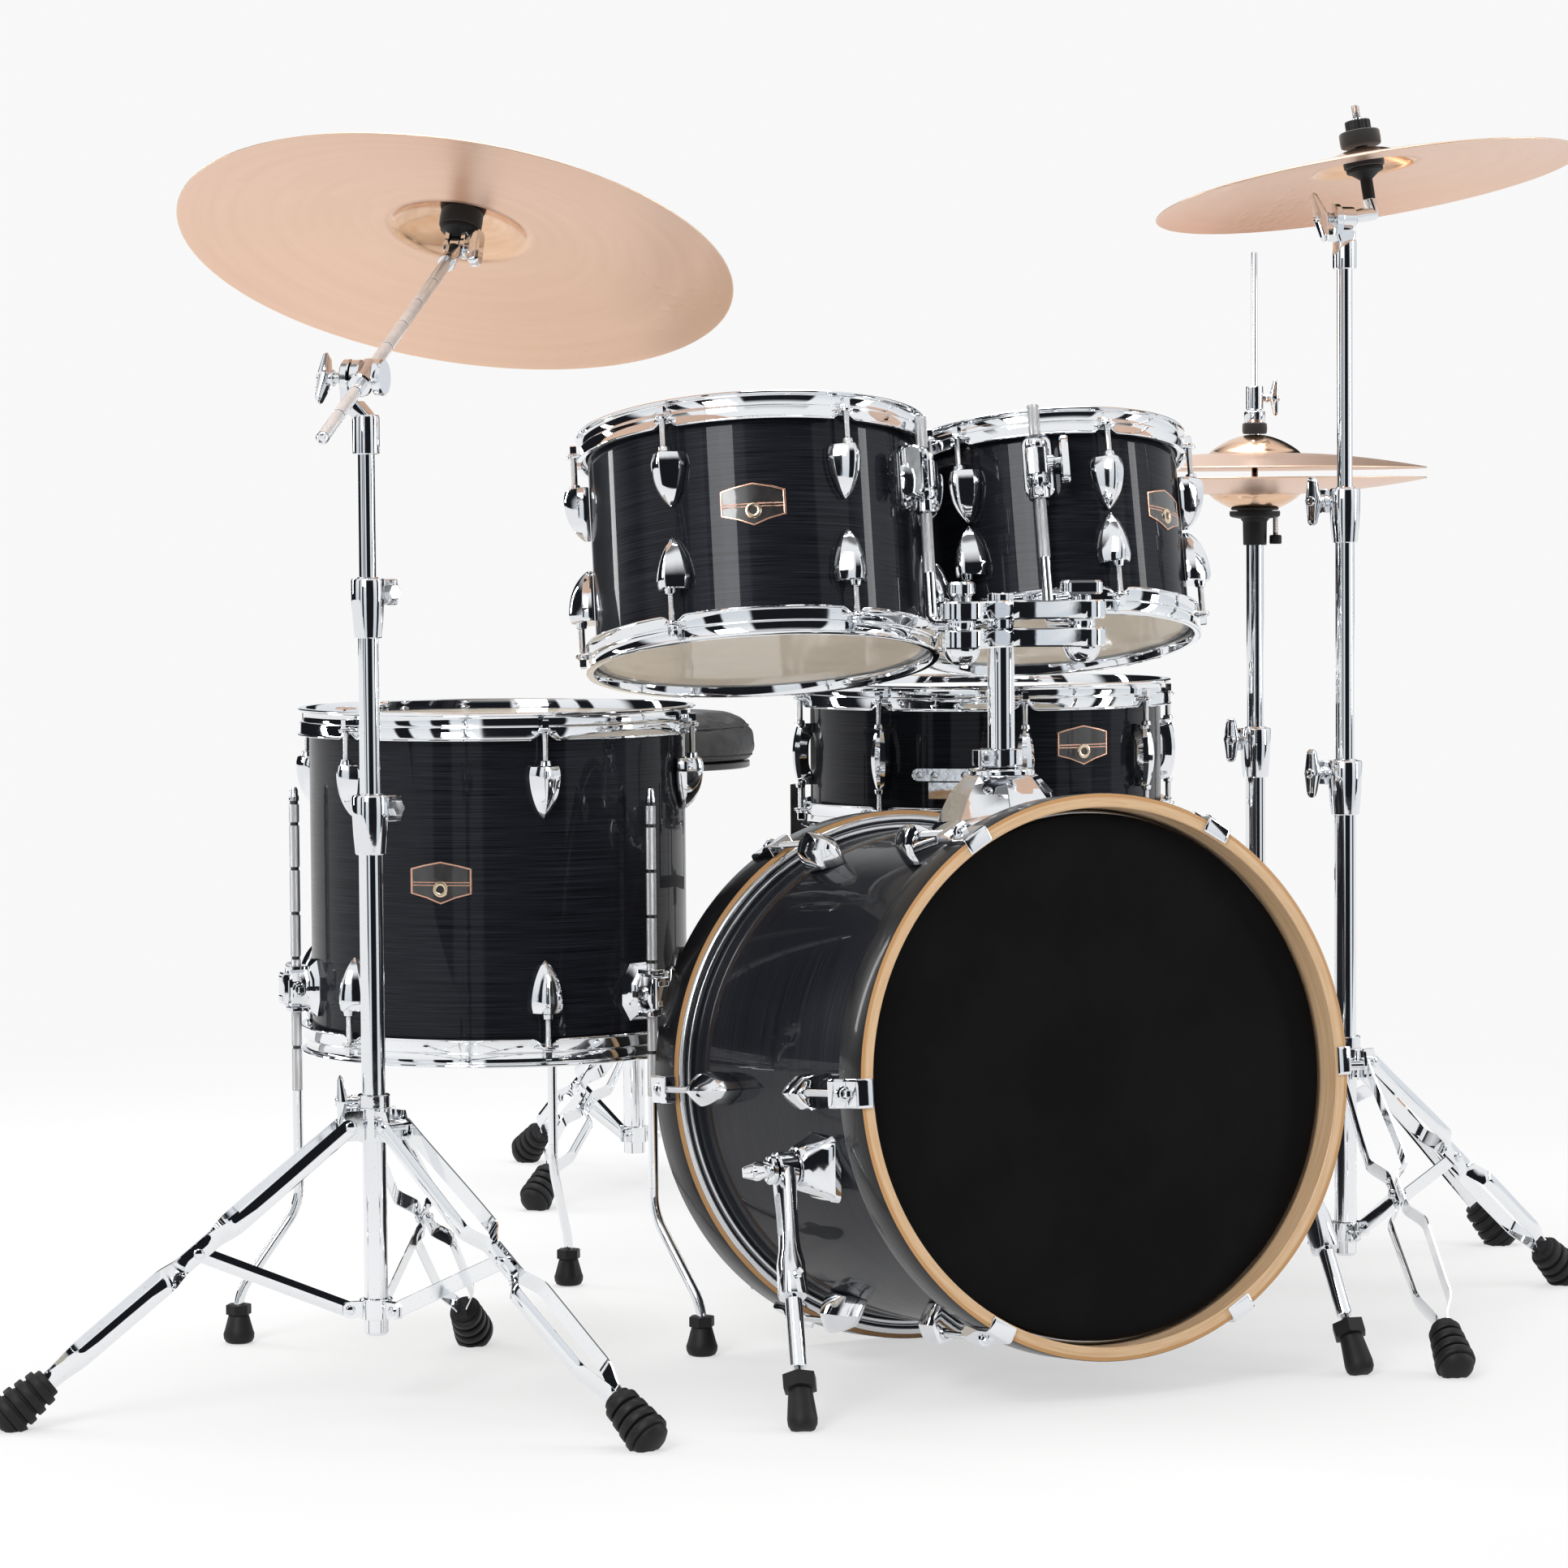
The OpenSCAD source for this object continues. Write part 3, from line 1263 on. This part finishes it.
// Base plate, hoop clamp, two posts and heel hinge
module kick_frame() {
    color(chrome) hoop_jaw();
    color(chrome) kit() translate([pedal_x, 0, 0]) {
        translate([-52, kick_y + 10, 0]) cube([104, 34, 8]);
        translate([-12, kick_y + 12, 0]) cube([24, 12, 28]);
        translate([-30, kick_y + 44, 0]) cube([60, kick_heel_y - kick_y - 52, 4]);
        translate([-36, kick_heel_y - 8, 0]) cube([72, 46, 6]);
        difference() {
            union() {
                for (s = [-1, 1]) {
                    translate([s * kick_post_x - 6, kick_y + 20, 8])
                        cube([12, 14, kick_axle_z - 2]);
                    translate([s * kick_post_x, kick_y + 20, kick_axle_z]) rotate([-90, 0, 0])
                        cylinder(r = 10, h = 14);
                    translate([s > 0 ? 31 : -37, kick_heel_y - 8, 6]) cube([6, 16, 26]);
                }
            }
            translate([-60, kick_y + 27, kick_axle_z]) rotate([0, 90, 0])
                cylinder(r = 4 + tube_fit, h = 120);
            translate([-60, kick_heel_y, 22]) rotate([0, 90, 0])
                cylinder(r = 3 + tube_fit, h = 120);
        }
    }
}

module kick_footboard() {
    rise = atan2(kick_toe_z - 22, kick_heel_y - kick_y - 40);
    color(chrome) kit() translate([pedal_x, kick_heel_y, 22]) {
        rotate([0, 0, -90]) rotate([0, -rise, 0]) translate([6, 0, -4])
            board(kick_heel_y - kick_y - 44, 58);
        translate([-35, 0, 0]) rotate([0, 90, 0]) cylinder(r = 3, h = 70);
        translate([-29, -11, -5]) cube([58, 17, 11]);
    }
}

// Axle, cam and beater, leaning back from the head
module kick_beater() {
    color(chrome) kit() translate([pedal_x, kick_y + 27, kick_axle_z]) {
        translate([-52, 0, 0]) rotate([0, 90, 0]) cylinder(r = 4, h = 104);
        translate([-9, 0, 0]) rotate([0, 90, 0]) cylinder(r = 17, h = 18);
        rotate([-beater_lean, 0, 0]) {
            translate([0, 0, -30]) cylinder(r = 3.5, h = beater_len + 30);
            translate([0, 22, beater_len - 4]) rotate([90, 0, 0]) cylinder(r = 25, h = 44);
        }
    }
}

// ---- Snare stand ----

basket_dir = [139.5, 274.5, 4.5];
basket_z = snare_top - hoop_rise - snare_depth - hoop_rise;
basket_hub_z = basket_z - 62;
snare_tube_top = 300;

module snare_stand() {
    color(chrome) at_floor(snare_at) {
        tube(base_r, brace_z - 28, snare_tube_top);
        tripod(base_r, snare_leg_reach, snare_pivot_z, brace_z - 10, three(snare_leg_dir));
        translate([0, 0, snare_tube_top]) adjuster(base_r, mid_r, 200);
    }
}

// Tube, hub and three arms whose hooked rubber tips carry the snare drum
module snare_basket() {
    arm_out = snare_d / 2 + 16;
    color(rubber) at_floor(snare_at) {
        tube(mid_r, snare_tube_top - 130, basket_hub_z - 12);
        difference() {
            translate([0, 0, basket_hub_z - 26]) cylinder(r = 26, h = 34);
            translate([0, 0, basket_hub_z - 27]) cylinder(r = mid_r + seam, h = 15);
        }
        for (a = basket_dir) rotate([0, 0, a]) {
            translate([20, -7, basket_hub_z - 7]) cube([arm_out - 12, 14, 12]);
            translate([arm_out - 4, -8, basket_hub_z - 7]) cube([12, 16, basket_z - basket_hub_z + 46]);
            translate([arm_out - 22, -8, basket_z - 12 - air]) cube([20, 16, 12]);
        }
    }
}

bass_shell();
bass_hoops();
bass_heads();
bass_lugs();
bass_claws();
spur_brackets();
left_spur();
right_spur();
holder_base();
holder_post();
left_tom_arm();
right_tom_arm();
left_tom_shell();
left_tom_hoops();
left_tom_heads();
left_tom_lugs();
left_tom_bracket();
right_tom_shell();
right_tom_hoops();
right_tom_heads();
right_tom_lugs();
right_tom_bracket();
floor_tom_shell();
floor_tom_hoops();
floor_tom_heads();
floor_tom_lugs();
floor_leg_brackets();
floor_leg_left();
floor_leg_front();
floor_leg_back();
snare_shell();
snare_hoops();
snare_heads();
snare_lugs();
snare_strainer();
snare_lever();
snare_stand();
snare_basket();
ride_stand();
ride_tube();
ride_boom_clamp();
ride_boom();
ride_tilter();
ride_cymbal();
crash_stand();
crash_tube();
crash_tilter();
crash_cymbal();
hihat_stand();
hihat_tube();
hihat_rod();
hihat_bottom_cymbal();
hihat_top_cymbal();
hihat_pedal();
throne_base();
throne_seat();
kick_frame();
kick_footboard();
kick_beater();
stand_feet();
